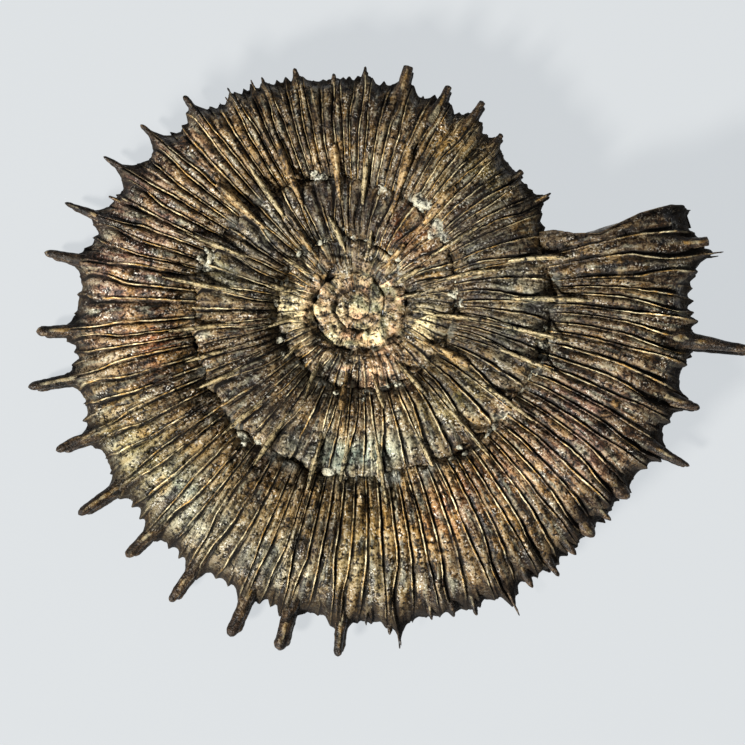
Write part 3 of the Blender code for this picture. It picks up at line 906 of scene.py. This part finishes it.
def stone_layers(crest, crest_light, silver_sheen):
    """Each layer from the bottom up: its colour, what lightens or darkens it, and where it lies."""
    return (
        (linear(PALE_TAN), ("strength", 0.26), (("strength", 1.0, 2.6, 0.0, 0.6),)),
        # A painted silver sheen, strongest in the middle of the floors' arches.
        (
            linear(SILVER_SHEEN), (("grain", 0.36, 0.64, 0.15, 1.3),),
            (("patch", 0.5, 0.68, 0.0, 1.0), ("floor", 0.2, 0.9, 0.1, 1.0), silver_sheen),
        ),
        # Painted white glints.
        (linear(GLINT_WHITE), (), (("fleck", 0.58, 0.66, 0.0, 1.0), ("mottle", 0.45, 0.58, 0.0, 1.0), silver_sheen)),
        # Light crests: wear, and a painted highlight.
        (crest, (("grain", 0.35, 0.65, 0.5, 1.4), crest_light), (("crest", 0.2, 0.8, 0.0, 0.92),)),
        # Dark clay in the grooves, standing in for their shade as well.
        (linear(CLAY), (), ("clay_and_shade",)),
        (linear(CLAY), (), ("dark_pit",)),
        (
            linear(CHALK), (("grain", 0.35, 0.65, 0.25, 1.4), ("mottle", 0.35, 0.65, 0.4, 1.4)),
            (("crust", 0.2, 0.7, 0.0, 0.75),),
        ),
    )


print("colours of the layers:", PALE_TAN, SILVER_SHEEN, GLINT_WHITE, CREST_TAN, CREST_GOLD, CLAY, CHALK)

# %% Fossil calcite
BUMPS = (("grain", 0.8, 0.45), ("fleck", 0.6, 0.2))
STONE_SPECULAR = 0.32


def fossil_stone(name, body, crest_light, silver_sheen, roughness, mottling=1.0):
    """Mottled fossil calcite with light crests, clay in its grooves, and painted sheen, glints and shade."""
    material = bpy.data.materials.new(name)
    material.use_nodes = True
    tree = material.node_tree
    surface = tree.nodes["Principled BSDF"]
    fields = stone_fields(tree)
    add_shares(tree, fields, body, mottling)
    values = {0: fields["golden"], 6: (*linear(CREST_TAN), 1), 7: (*linear(CREST_GOLD), 1)}
    crest = add(tree, "ShaderNodeMix", values, out=2, data_type="RGBA")
    values = {0: fields["wash"], "Scale": fields["strength"]}
    colour = add(tree, "ShaderNodeVectorMath", values, operation="SCALE")
    for paint, light, share in stone_layers(crest, crest_light, silver_sheen):
        values = {0: paint, "Scale": product(tree, fields, *light)}
        over = add(tree, "ShaderNodeVectorMath", values, operation="SCALE")
        values = {0: product(tree, fields, *share), 6: colour, 7: over}
        colour = add(tree, "ShaderNodeMix", values, out=2, data_type="RGBA")
    # Where the shade number is low the colour goes dark brown: painted shade at the edge, in the seams and
    # on the webs.
    shade_brown_share = product(tree, fields, ("shade", 0.1, 0.9, 1.0, 0.0))
    shade_brown = add(tree, "ShaderNodeVectorMath", {0: linear(SHADE_BROWN), "Scale": shade_brown_share}, operation="SCALE")
    shaded = add(tree, "ShaderNodeVectorMath", {0: colour, "Scale": fields["shade"]}, operation="SCALE")
    whole = add(tree, "ShaderNodeVectorMath", {0: shaded, 1: shade_brown}, operation="ADD")
    tree.links.new(whole, surface.inputs["Base Color"])
    rough = product(tree, fields, ("mottle", 0.35, 0.65, roughness + 0.2, roughness - 0.08))
    for dull in ("dull", "clay_and_shade", "dark_pit"):
        rough = add(tree, "ShaderNodeMath", {0: rough, 1: fields[dull]}, operation="MAXIMUM")
    tree.links.new(rough, surface.inputs["Roughness"])
    normal = {}
    for pattern, strength, depth in BUMPS:
        values = {"Strength": strength, "Distance": depth * MM, "Height": fields[pattern], **normal}
        normal = {"Normal": add(tree, "ShaderNodeBump", values)}
    tree.links.new(normal["Normal"], surface.inputs["Normal"])
    surface.inputs["Specular IOR Level"].default_value = STONE_SPECULAR
    return material


# The shell is mottled and waxed, the outer spines are darker and more even, and the inner spikes are worn
# light. The limestone in the seams is duller, with a little more painted silver sheen.
shell_stone = fossil_stone("shell_calcite", body=1.0, crest_light=1.35, silver_sheen=0.65, roughness=0.36)
spine_stone = fossil_stone(
    "spine_calcite", body=0.55, crest_light=0.8, silver_sheen=0.06, roughness=0.45, mottling=0.45
)
spike_stone = fossil_stone("spike_calcite", body=1.05, crest_light=1.4, silver_sheen=0.25, roughness=0.42)
seam_stone = fossil_stone("seam_limestone", body=1.0, crest_light=1.0, silver_sheen=0.7, roughness=0.45)
print("materials:", [material.name for material in bpy.data.materials])

# %% [markdown]
# ## Growing the shell
#
# The coil is cut into stretches, so that no mesh gets too heavy, and each cut lies in a groove between two
# ribs, where it can't be seen.

# %% The stretches of the coil
STRETCHES = (
    ("centre_turns", -1800.0, -1061.5, 64), ("third_turn", -1061.5, -701.5, 84),
    ("second_turn", -701.5, -341.5, 104), ("last_turn_early", -341.5, -222.0, 150),
    ("last_turn_middle", -222.0, -102.0, 150), ("living_chamber", -102.0, 18.5, 150),
)
GROOVE_SHARE = (0.08, 0.2)


def column_near(angle):
    """The column in a rib's groove that lies nearest to an angle."""
    interval, kind, share = columns.T
    start = spine_angles[interval.astype(int)]
    place = start + INTERVALS[interval.astype(int)] * (EDGE_PLACE[kind.astype(int)] + share)
    in_groove = (kind == 1) & (share > GROOVE_SHARE[0]) & (share < GROOVE_SHARE[1])
    return int(np.argmin(np.where(in_groove, np.abs(place - angle), 1e9)))


def grow_stretch(name, start, end, rows):
    """One stretch of shell between two angles."""
    first = 0 if start <= START_ANGLE else column_near(start)
    last = len(columns) - 1 if end >= MOUTH_ANGLE else column_near(end)
    tube, ring, row = spun_tube(name, last - first + 1, rows)
    points, parts = shell_points(columns[first:last + 1], section_rows(rows))
    put(tube.data, points[ring, row])
    for part, values in parts.items():
        set_attribute(tube.data, part, values[ring, row])
    return tube


shell = {row[0]: grow_stretch(*row) for row in STRETCHES}
for piece in shell.values():
    close_and_turn_out(piece)
print("corners of each stretch:", [len(piece.data.vertices) for piece in shell.values()])

# %% [markdown]
# ## The mouth
#
# At the mouth the shell's wall shows as a rim, and inside it the living chamber is filled with the
# limestone of the sea floor. The flat end is inset by the wall's thickness and pushed in, and a lumpy
# plug of stone fills most of the hollow again.

# %% The rim and the hollow behind it
WALL, HOLLOW = 1.3, 4.5
SHELL_PITS = (0.22, 0.14)
inward = -point_at(HOLLOW * MM, MOUTH_ANGLE + 90, 0.0)


def hollow_mouth(piece):
    """Insets the cap at the mouth and pushes it in."""
    pick_only(piece)
    caps = [face for face in piece.data.polygons if len(face.vertices) > 20]
    cap = max(caps, key=lambda face: face.center.x).index
    bpy.ops.object.mode_set(mode="EDIT")
    bpy.ops.mesh.select_mode(type="FACE")
    bpy.ops.mesh.select_all(action="DESELECT")
    bpy.ops.object.mode_set(mode="OBJECT")
    piece.data.polygons[cap].select = True
    bpy.ops.object.mode_set(mode="EDIT")
    bpy.ops.mesh.inset(thickness=WALL * MM)
    bpy.ops.mesh.extrude_region_move(TRANSFORM_OT_translate={"value": tuple(inward)})
    bpy.ops.mesh.select_mode(type="VERT")
    bpy.ops.mesh.select_all(action="DESELECT")
    bpy.ops.object.mode_set(mode="OBJECT")


hollow_mouth(shell["living_chamber"])
for piece in shell.values():
    roughen(piece, *SHELL_PITS)
    hand_over(piece, shell_stone)

# %% The plug of stone and the first chamber
PLUG_DEPTH, PLUG_THICKNESS, PLUG_MARGIN = 4.3, 3.0, 1.0
FIRST_CHAMBER = (4.4, 4.4, 1.7)
BALL_SEGMENTS, BALL_RINGS = 72, 48
BALL_PITS = (0.35, 0.2)


def give_parts(mesh, points, wash, relief, floor=0.6, crest=0.0, along=None):
    """Gives a piece that isn't shell the attributes that its stone is coloured by."""
    set_attribute(mesh, "wash", wash)
    set_attribute(mesh, "along", points if along is None else along)
    set_attribute(mesh, "relief", np.clip(relief, 0, 1))
    for part, value in (("floor", floor), ("crest", crest), ("shade", 1.0), ("groove", 0.0), ("crust", 0.0)):
        set_attribute(mesh, part, value + np.zeros(len(points)))


def turned_about_z(points, turn):
    """Points turned about the Z axis, in radians."""
    cosine, sine = math.cos(turn), math.sin(turn)
    return points @ np.array(((cosine, sine, 0), (-sine, cosine, 0), (0, 0, 1)))


def lumpy_ball(name, centre, half_sizes, turn, depth, size):
    """A ball squashed to its half sizes in mm, turned about Z, and given lumps `depth` mm deep."""
    bpy.ops.mesh.primitive_uv_sphere_add(segments=BALL_SEGMENTS, ring_count=BALL_RINGS, radius=1)
    ball = bpy.context.object
    ball.name = ball.data.name = name
    sphere = np.array([vertex.co for vertex in ball.data.vertices])
    lumps = noise(sphere * max(half_sizes), size, 21)
    shaped = sphere * half_sizes * (1 + depth / max(half_sizes) * lumps)[:, None]
    turned = turned_about_z(shaped, turn) + centre
    put(ball.data, turned)
    give_parts(ball.data, turned, wash_colour(turned), 0.55 + 0.4 * lumps)
    roughen(ball, *BALL_PITS)
    hand_over(ball, shell_stone)


mouth_outer, mouth_seam = float(coil_radius(MOUTH_ANGLE)), float(seam_radius(MOUTH_ANGLE))
plug_angle = MOUTH_ANGLE - math.degrees(PLUG_DEPTH / mouth_outer)
plug_radius = (mouth_outer + mouth_seam) / 2 - 0.3
plug_centre = point_at(plug_radius, plug_angle, 0.0)
plug_half = (
    (mouth_outer - mouth_seam) / 2 - PLUG_MARGIN, PLUG_THICKNESS,
    float(half_breadth(MOUTH_ANGLE)) - 1.2 * PLUG_MARGIN,
)
lumpy_ball("mouth_stone", plug_centre, plug_half, math.radians(plug_angle), depth=1.6, size=7.0)
lumpy_ball("first_chamber", np.zeros(3), FIRST_CHAMBER, 0.0, depth=0.5, size=1.8)

# %% [markdown]
# ## The spines as rods
#
# A spine was a hollow rod of shell, now filled. It widens where it grows out of the shoulder, and the
# rib's crest runs on along its top as a fine ridge. One rod is modelled, a cylinder cut into rings, and
# every spine is a copy of it, bent along its own line and given its own thickness from foot to tip.

# %% One straight rod to copy
ROD_SIDES, ROD_RINGS, CROWDING = 18, 30, 1.7


def plain_rod():
    """A closed rod one unit long along +X, one unit in radius, cut into rings that crowd toward its tip."""
    bpy.ops.mesh.primitive_cylinder_add(
        vertices=ROD_SIDES, radius=1, depth=1, end_fill_type="TRIFAN",
        location=(0.5, 0, 0), rotation=(0, math.pi / 2, 0),
    )
    rod = bpy.context.object
    bpy.ops.object.transform_apply(location=True, rotation=True, scale=True)
    bpy.ops.object.mode_set(mode="EDIT")
    bpy.ops.mesh.select_mode(type="EDGE")
    bpy.ops.mesh.select_all(action="DESELECT")
    bpy.ops.object.mode_set(mode="OBJECT")
    ends = [[rod.data.vertices[k].co.x for k in edge.vertices] for edge in rod.data.edges]
    rod.data.edges.foreach_set("select", [abs(a - b) > 0.5 for a, b in ends])
    bpy.ops.object.mode_set(mode="EDIT")
    bpy.ops.mesh.subdivide(number_cuts=ROD_RINGS - 1)
    bpy.ops.mesh.select_mode(type="VERT")
    bpy.ops.object.mode_set(mode="OBJECT")
    return rod


rod = plain_rod()
rod_place = np.array([vertex.co for vertex in rod.data.vertices])
rod_place[:, 0] = 1 - (1 - np.clip(rod_place[:, 0], 0, 1)) ** CROWDING
print("corners of the rod:", len(rod_place))

# %% Bending a rod along a line
ROD_NOISE = ((0.8, 3.0, 22), (0.7, 1.0, 23))
ROD_LUMPS, RIDGE_HEIGHT, RIDGE_WIDTH = 0.12, 0.14, 0.24
RIDGE_FADE = ((0, 0.15, 0.8, 1), (0.3, 1, 0.8, 0.2))


def bent_rod(name, path, half_width, ridge, colour, shade):
    """A copy of the rod along a path in mm about the coil's centre, `half_width` mm thick along it."""
    made = bpy.data.objects.new(name, rod.data.copy())
    bpy.context.scene.collection.objects.link(made)
    along = np.linspace(0, 1, len(path))
    t = rod_place[:, 0]
    centre = np.stack([np.interp(t, along, path[:, k]) for k in range(3)], axis=1)
    ahead = np.gradient(path, axis=0)
    ahead = np.stack([np.interp(t, along, ahead[:, k]) for k in range(3)], axis=1)
    ahead /= np.linalg.norm(ahead, axis=1, keepdims=True)
    side = np.cross(ahead, (0, 0, 1.0))
    side /= np.linalg.norm(side, axis=1, keepdims=True)
    up = np.cross(side, ahead)
    width = np.interp(t, along, half_width)
    round_rod = np.arctan2(rod_place[:, 2], rod_place[:, 1])
    reach = np.hypot(rod_place[:, 1], rod_place[:, 2])
    on_skin = centre + width[:, None] * np.column_stack((np.cos(round_rod), np.sin(round_rod), 0 * t))
    lumps = noises(on_skin, *ROD_NOISE)
    broken_line = np.clip(0.5 + 1.3 * noise(on_skin, 2.5, 24), 0, 1)
    on_ridge = np.exp(-(((round_rod - ridge * math.pi / 2) / RIDGE_WIDTH) ** 2))
    on_ridge = on_ridge * (reach > 0.5) * broken_line
    spread = (width * reach * (1 + ROD_LUMPS * lumps + RIDGE_HEIGHT * on_ridge))[:, None]
    place = centre + spread * (side * np.cos(round_rod)[:, None] + up * np.sin(round_rod)[:, None])
    put(made.data, place)
    # The ridge takes the light crest colour, as wear and a painted highlight.
    give_parts(
        made.data, place, np.broadcast_to(colour, place.shape) * shade + wash_colour(place) * (1 - shade),
        0.5 + 0.35 * lumps, floor=0.4, crest=on_ridge * np.interp(t, *RIDGE_FADE),
        along=np.column_stack((round_rod * width, t * 12, 0 * t)) + path[0],
    )
    return made


FORMS = {
    "rod": (1.0, 0.09), "cone": (1.0, 0.07), "needle": (2.6, 0.05), "broken": (1.2, 0.03),
    "stub": (1.0, 0.3),
}
FLARE, FLARE_REACH = 0.45, 0.3
PATH_POINTS = 60


def taper(form, foot, tip, t):
    """Half the thickness in mm from a spine's foot to its rounded tip."""
    power, rounding = FORMS[form]
    width = tip + (foot - tip) * (1 - t) ** power
    width = width * (1 + FLARE * np.exp(-((t / FLARE_REACH) ** 2)))
    return width / 2 * np.sqrt(np.clip(1 - np.clip((t - 1 + rounding) / rounding, 0, 1) ** 2, 0.01, 1))


print("forms of spines:", ", ".join(FORMS))

# %% The outer spines, above and below
FOOT_START, FOOT_LEVEL, FOOT_TURN, TIP_LEVEL, SPLAY = 0.76, 0.62, 1.1, 0.53, 0.158
BROKEN_FOOT_START, LIP_SPINES_FROM = 0.88, 10
SPINE_BROWN = linear("#3A2C20")


def outer_spine(name, angle, reach, foot, tip, form, side):
    """One spine of the last turn, on the upper (1) or the lower (-1) shoulder."""
    outer, seam, breadth = float(coil_radius(angle)), float(seam_radius(angle)), float(half_breadth(angle))
    at_lip = angle > LIP_SPINES_FROM
    start = seam + (BROKEN_FOOT_START if at_lip else FOOT_START) * (outer - seam)
    t = np.linspace(0, 1, PATH_POINTS)
    radius = start + (outer + reach - start) * t
    tip_height = TIP_LEVEL * breadth + SPLAY * (reach + 0.08 * (outer - seam))
    height = FOOT_LEVEL * breadth + (tip_height - FOOT_LEVEL * breadth) * t**1.5
    path = point_at(radius, angle + FOOT_TURN * (1 - t) ** 2, side * height)
    return bent_rod(name, path, taper(form, foot, tip, t), side, SPINE_BROWN, 1.0 if at_lip else 0.75)


def joined(parts, name, material, pits=0.25, grains=0.14):
    """Joins several rods or lumps into one piece."""
    bpy.ops.object.select_all(action="DESELECT")
    for part in parts:
        part.select_set(True)
    bpy.context.view_layer.objects.active = parts[0]
    bpy.ops.object.join()
    piece = bpy.context.object
    piece.name = piece.data.name = name
    close_and_turn_out(piece)
    roughen(piece, pits, grains)
    hand_over(piece, material)


for side, name in ((1, "upper_spines"), (-1, "lower_spines")):
    rods = [outer_spine(f"{name}_{k}", *row, side) for k, row in enumerate(OUTER_SPINES + TEETH)]
    joined(rods, name, spine_stone)

# %% Spikes of the inner turns, over the seams
def flank_height(angle, radius):
    """The smooth flank's height in mm at a radius, or far below where the turn doesn't reach."""
    outer, seam = coil_radius(angle), seam_radius(angle)
    out = (radius - seam) / (outer - seam)
    height = half_breadth(angle) * breadth_share(out, section_power(angle, out))
    return np.where(np.abs(out - SECTION_MIDDLE) < SECTION_HALF, height, -50.0)


SPIKE_START, SPIKE_THINNING = 0.45, 0.92
SPIKE_PLACES = (0.0, 0.3, 0.6, 0.85, 1.0)
THIN_SPIKE, BLUNT_SPIKE = (0.3, 0.75, 1.0, 0.65, 0.1), (0.2, 0.5, 0.85, 1.0, 0.55)
SPIKE_TAN, SPIKE_GOLD = linear("#9C8E68"), linear("#8C6E40")


def inner_spike(name, angle, tip_radius, thickness, slant, side):
    """A spike that grows from one turn's flank and lies over the next turn's wall."""
    colour, swell = (SPIKE_TAN, THIN_SPIKE) if thickness < 2 else (SPIKE_GOLD, BLUNT_SPIKE)
    thickness = thickness * SPIKE_THINNING
    t = np.linspace(0, 1, PATH_POINTS)
    outer, seam = float(coil_radius(angle)), float(seam_radius(angle))
    start = seam + SPIKE_START * (outer - seam)
    radius = start + (tip_radius - start) * t
    turned = angle + rib_lean(angle, SPIKE_START + (1 - SPIKE_START) * t) + slant * (t - 0.3)
    surface = np.maximum(flank_height(turned, radius), flank_height(turned + 360, radius))
    straight = surface[0] + (surface[-1] - surface[0]) * t
    height = np.maximum(surface + 0.15 * thickness, straight * (surface < straight))
    height = np.convolve(np.pad(height, 5, mode="edge"), np.ones(11) / 11, mode="valid")
    height = height - 0.5 * thickness * (1 - ramp(t, 0.0, 0.25)) + 0.7 * ramp(t, 0.2, 0.5)
    path = point_at(radius, turned, side * height)
    return bent_rod(name, path, thickness / 2 * np.interp(t, SPIKE_PLACES, swell), side, colour, 0.6)


for side, name in ((1, "upper_spikes"), (-1, "lower_spikes")):
    rows = SECOND_TURN_SPIKES + THIRD_TURN_SPIKES
    rods = [inner_spike(f"{name}_{k}", *row, side) for k, row in enumerate(rows)]
    joined(rods, name, spike_stone)
bpy.data.objects.remove(rod)

# %% [markdown]
# ## Rubble in the seams
#
# Lumps of the rock that the shell lay in still cling to the seams. Each is one small ball, squashed,
# turned and pushed out of shape by noise, and set half into the valley between two turns.

# %% Lumps of limestone along the seams
LUMPS_PER_DEGREE, INNER_LUMPS = 0.55, 46
LUMP_SIZE, INNER_SIZE, INNER_FROM, INNER_TO = (0.9, 2.5), (0.5, 1.1), -720, -400
RUBBLE_NOISE, RUBBLE_PITS = ((0.45, 1.1, 41), (0.25, 0.5, 42)), (0.3, 0.2)
LIMESTONE = linear("#A4A494")

bpy.ops.mesh.primitive_uv_sphere_add(segments=16, ring_count=10, radius=1)
plain_ball = bpy.context.object
ball_place = np.array([vertex.co for vertex in plain_ball.data.vertices])


def seam_lump(name, angle, offset, half_sizes, turn, side):
    """One lump in the valley at an angle, `offset` mm out from the seam, with its half sizes in mm."""
    radius = float(seam_radius(angle)) + offset
    valley = max(float(flank_height(np.array(angle + step), radius)) for step in (0.0, -360.0))
    centre = point_at(radius, angle, side * valley)
    lumps = noises(ball_place + centre, *RUBBLE_NOISE)
    turned = turned_about_z(ball_place * half_sizes * (1 + lumps)[:, None], turn) + centre
    made = bpy.data.objects.new(name, plain_ball.data.copy())
    bpy.context.scene.collection.objects.link(made)
    put(made.data, turned)
    stained = np.clip(0.3 + noise(turned, 1.6, 43), 0, 1)[:, None]
    wash = LIMESTONE + (wash_colour(turned) - LIMESTONE) * stained
    give_parts(made.data, turned, wash, 0.5 + lumps, floor=0.5)
    return made


def lump_rows():
    """Angle, offset, half sizes and turn of every lump, the same for both sides of the shell."""
    found = []
    for middle, spread, amount in CRUSTS:
        for _ in range(int(2 * spread * amount * LUMPS_PER_DEGREE) + 1):
            angle = (middle + spread * random.normal(0, 0.6)) % 360 - 360
            found.append((angle, random.uniform(*LUMP_SIZE)))
    for _ in range(INNER_LUMPS):
        found.append((random.uniform(INNER_FROM, INNER_TO), random.uniform(*INNER_SIZE)))
    rows = []
    for angle, size in found:
        shares = [random.uniform(least, most) for least, most in ((0.7, 1.0), (0.5, 1.2), (0.4, 0.7))]
        rows.append((angle, random.normal(0.3, 0.8), size * np.array(shares), random.uniform(0, math.pi)))
    return rows


lump_list = lump_rows()
print("lumps on each side of the shell:", len(lump_list))
for side, name in ((1, "upper_rubble"), (-1, "lower_rubble")):
    lumps = [seam_lump(f"{name}_{k}", *row, side) for k, row in enumerate(lump_list)]
    joined(lumps, name, seam_stone, *RUBBLE_PITS)
bpy.data.objects.remove(plain_ball)

# %% [markdown]
# ## Floor, light and camera
#
# The fossil lies on a plain pale table. Soft light comes from the left and below in the picture, as it
# does in the reference, with weaker light from all round. The camera looks straight down through a long
# lens, so that the coil isn't distorted.

# %% The table
TABLE_SIDE, TABLE_GLOW = 6, 0.845
bpy.ops.mesh.primitive_plane_add(size=TABLE_SIDE, location=(0, 0, 0))
table = bpy.context.object
table.name = "table"
table_paint = bpy.data.materials.new("matt_pale_table")
table_paint.use_nodes = True
table_surface = table_paint.node_tree.nodes["Principled BSDF"]
table_surface.inputs["Base Color"].default_value = (*linear("#505050"), 1)
table_surface.inputs["Roughness"].default_value = 1.0
table_surface.inputs["Specular IOR Level"].default_value = 0.0
table_surface.inputs["Emission Color"].default_value = (*linear("#DDE2E6"), 1)
table_surface.inputs["Emission Strength"].default_value = TABLE_GLOW
table.data.materials.append(table_paint)
print("table's side in metres:", TABLE_SIDE)

# %% Lights
LIGHT_TINT, ROOM_TINT, ROOM_STRENGTH = (1.0, 0.975, 0.92), (0.93, 0.96, 1.0, 1), 0.06


def soft_light(name, place, size, watts):
    """A square area light that points at the middle of the fossil."""
    bpy.ops.object.light_add(type="AREA", location=place)
    light = bpy.context.object
    light.name = name
    light.data.energy = watts
    light.data.color = LIGHT_TINT
    light.data.size = size
    aim = -np.array(place) / np.linalg.norm(place)
    light.rotation_euler = (math.acos(-aim[2]), 0, math.atan2(aim[1], aim[0]) - math.pi / 2)


soft_light("key_light", (-1.3, -1.2, 1.5), size=0.4, watts=114)
soft_light("fill_light", (1.2, 1.1, 2.2), size=1.4, watts=8)
world = bpy.data.worlds.new("room")
world.use_nodes = True
room = world.node_tree.nodes["Background"]
room.inputs["Color"].default_value = ROOM_TINT
room.inputs["Strength"].default_value = ROOM_STRENGTH
bpy.context.scene.world = world
bpy.context.scene.view_settings.view_transform = "Standard"

# %% The camera
PHOTO_SIDE, PHOTO_CENTRE_X, PHOTO_CENTRE_Y = 745, 357.7, 308.6
MM_PER_PIXEL = 0.25
LENS, SENSOR = 200.0, 36.0
frame_middle_x = COIL_CENTRE[0] + (PHOTO_SIDE / 2 - PHOTO_CENTRE_X) * MM_PER_PIXEL
frame_middle_y = COIL_CENTRE[1] - (PHOTO_SIDE / 2 - PHOTO_CENTRE_Y) * MM_PER_PIXEL
distance = PHOTO_SIDE * MM_PER_PIXEL * LENS / SENSOR
bpy.ops.object.camera_add(
    location=(frame_middle_x * MM, frame_middle_y * MM, (COIL_CENTRE[2] + distance) * MM), rotation=(0, 0, 0)
)
camera = bpy.context.object
camera.data.lens = LENS
camera.data.sensor_width = SENSOR
bpy.context.scene.camera = camera
print("camera height in mm:", round(COIL_CENTRE[2] + distance))
